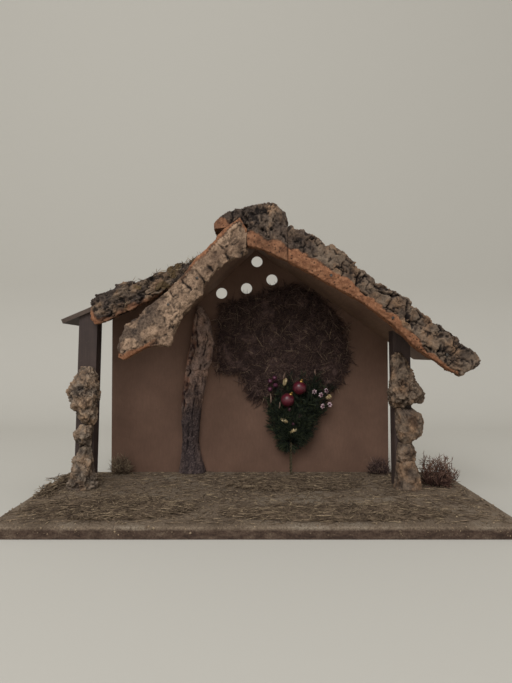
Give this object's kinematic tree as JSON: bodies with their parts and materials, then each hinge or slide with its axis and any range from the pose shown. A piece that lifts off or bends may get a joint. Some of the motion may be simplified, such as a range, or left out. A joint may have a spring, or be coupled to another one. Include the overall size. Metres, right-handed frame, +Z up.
{
  "type": "nativity stable",
  "caption": "Small wooden nativity stable: brown board hut with bark-edged sloping roofs on two posts, mossy back wall with light holes, berry sprig and mossy base board.",
  "frame": {"origin": "middle of the base board's underside", "axes": "+X to the viewer's right along the base board, +Y to the back panel, +Z up"},
  "size_m": [0.4, 0.18, 0.2737],
  "materials": {
    "base_wood": "fibreboard stained brown, dusted with sawdust and moss",
    "panel_wood": "thin board, matt brown paint",
    "post_wood": "sawn strip, dark brown stain",
    "roof_wood": "thin board, matt brown paint",
    "bark": "rough cork bark, grey outside and orange where cut",
    "moss": "dried moss and straw fibres",
    "lichen": "dried branching lichen",
    "foliage": "moulded green needles",
    "stem": "paper-wound wire",
    "bauble": "crimson lacquer",
    "berry": "dull purple lacquer",
    "bud": "cream, brushed with gold",
    "bead": "pale pink and silver lacquer",
    "nail": "dull steel wire"
  },
  "bodies": {
    "root": {"base_board": "base_wood", "back_panel": "panel_wood", "left_post": "post_wood", "right_post": "post_wood", "right_roof_board": "roof_wood", "inner_roof_board": "roof_wood", "left_roof_board": "roof_wood", "ridge_bark": "bark", "right_barge_bark": "bark", "left_barge_bark": "bark", "left_roof_bark": "bark", "left_post_bark_lower": "bark", "left_post_bark_middle": "bark", "left_post_bark_upper": "bark", "right_post_bark_foot": "bark", "right_post_bark_lower": "bark", "right_post_bark_middle": "bark", "right_post_bark_upper": "bark", "pillar_bark_lower": "bark", "pillar_bark_upper": "bark", "wall_moss": "moss", "floor_moss_left": "moss", "floor_moss_front": "moss", "floor_moss_rear": "moss", "left_moss_clump": "moss", "right_moss_clump": "moss", "lichen_tuft": "lichen", "sprig_foliage": "foliage", "sprig_stem": "stem", "sprig_baubles": "bauble", "sprig_berries": "berry", "sprig_buds": "bud", "sprig_beads": "bead", "roof_brads": "nail", "panel_brads": "nail", "bark_brads": "nail", "post_nails": "nail"}
  },
  "joints": []
}
